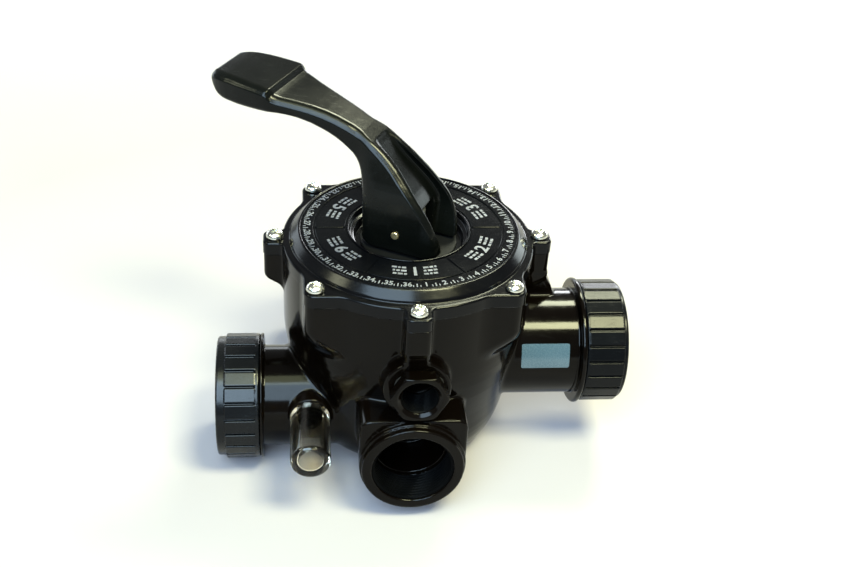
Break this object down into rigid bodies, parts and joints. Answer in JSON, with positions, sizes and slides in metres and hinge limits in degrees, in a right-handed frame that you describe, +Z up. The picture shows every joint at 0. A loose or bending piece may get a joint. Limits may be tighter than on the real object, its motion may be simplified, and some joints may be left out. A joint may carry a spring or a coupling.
{
  "type": "multiport valve",
  "caption": "Lever-operated multiport diverter valve with a round dial lid, union nuts left and right, a threaded front port, rear filter ports, a gauge port and a clear sight glass.",
  "frame": {"origin": "centre of the round foot under the body, on the axis of the handle stem", "axes": "+Z up along the stem; -Y towards the threaded return port at the front; +X towards the pump union, -X towards the waste union"},
  "size_m": [0.2666, 0.22, 0.2413],
  "materials": {
    "body_plastic": "glossy black moulded ABS",
    "nut_plastic": "satin black moulded plastic with grip ribs",
    "dial": "black dial plate",
    "dial_print": "pale lavender-grey print",
    "screw_steel": "bright stainless",
    "pin": "turned pin",
    "spring_steel": "bright wire",
    "rubber": "moulded",
    "washer": "black acetal",
    "inner_plastic": "dark grey moulded",
    "clear": "clear moulded acrylic",
    "label": "pale blue-green adhesive film, blank"
  },
  "bodies": {
    "root": {"valve_body": "body_plastic", "lid": "body_plastic", "dial_plate": "dial", "lid_seal_ring": "rubber", "lid_screw_1": "screw_steel", "lid_screw_2": "screw_steel", "lid_screw_3": "screw_steel", "lid_screw_4": "screw_steel", "lid_screw_5": "screw_steel", "lid_screw_6": "screw_steel", "lid_screw_7": "screw_steel", "lid_screw_8": "screw_steel", "diverter_spring": "spring_steel", "seat_gasket": "rubber", "gauge_port_bush": "body_plastic", "gauge_port_seal": "rubber", "sight_glass": "clear", "sight_glass_seal": "rubber", "blank_label": "label", "pump_union_seal": "rubber", "waste_union_seal": "rubber"},
    "handle_turntable": {"handle_washer": "washer"},
    "diverter": {"diverter": "inner_plastic", "stem_seal_lower": "rubber", "stem_seal_upper": "rubber", "spring_washer": "washer", "handle_pin": "pin"},
    "handle": {"handle": "body_plastic"},
    "pump_tail": {"pump_union_tail": "nut_plastic"},
    "pump_nut": {"pump_union_nut": "nut_plastic"},
    "waste_tail": {"waste_union_tail": "nut_plastic"},
    "waste_nut": {"waste_union_nut": "nut_plastic"}
  },
  "joints": [
    {"name": "handle_turn", "type": "hinge", "parent": "root", "child": "handle_turntable", "pos_m": [0, 0, 0.146], "axis": [0, 0, 1], "continuous": true},
    {"name": "diverter_lift", "type": "slide", "parent": "handle_turntable", "child": "diverter", "axis": [0, 0, 1], "range_m": [0, 0.0061], "deforming": ["diverter_spring"]},
    {"name": "handle_press", "type": "hinge", "parent": "diverter", "child": "handle", "pos_m": [0, 0, 0.161], "axis": [-0.4695, -0.8829, 0], "range_deg": [0, 20], "stiffness_Nm_per_rad": 2, "springref_deg": -14.32},
    {"name": "pump_union_travel", "type": "slide", "parent": "root", "child": "pump_tail", "axis": [1, 0, 0], "range_m": [0, 0.0094]},
    {"name": "pump_nut_turn", "type": "hinge", "parent": "pump_tail", "child": "pump_nut", "pos_m": [0.13, -0.01, 0.0716], "axis": [1, 0, 0], "range_deg": [0, 1440]},
    {"name": "waste_union_travel", "type": "slide", "parent": "root", "child": "waste_tail", "axis": [-1, 0, 0], "range_m": [0, 0.0094]},
    {"name": "waste_nut_turn", "type": "hinge", "parent": "waste_tail", "child": "waste_nut", "pos_m": [-0.11, -0.027, 0.0413], "axis": [-1, 0, 0], "range_deg": [0, 1440]}
  ],
  "couplings": [
    {"joint": "diverter_lift", "follows": "handle_press", "m_per_rad": 0.01719},
    {"joint": "pump_union_travel", "follows": "pump_nut_turn", "m_per_rad": 0.0003675},
    {"joint": "waste_union_travel", "follows": "waste_nut_turn", "m_per_rad": 0.0003675}
  ]
}
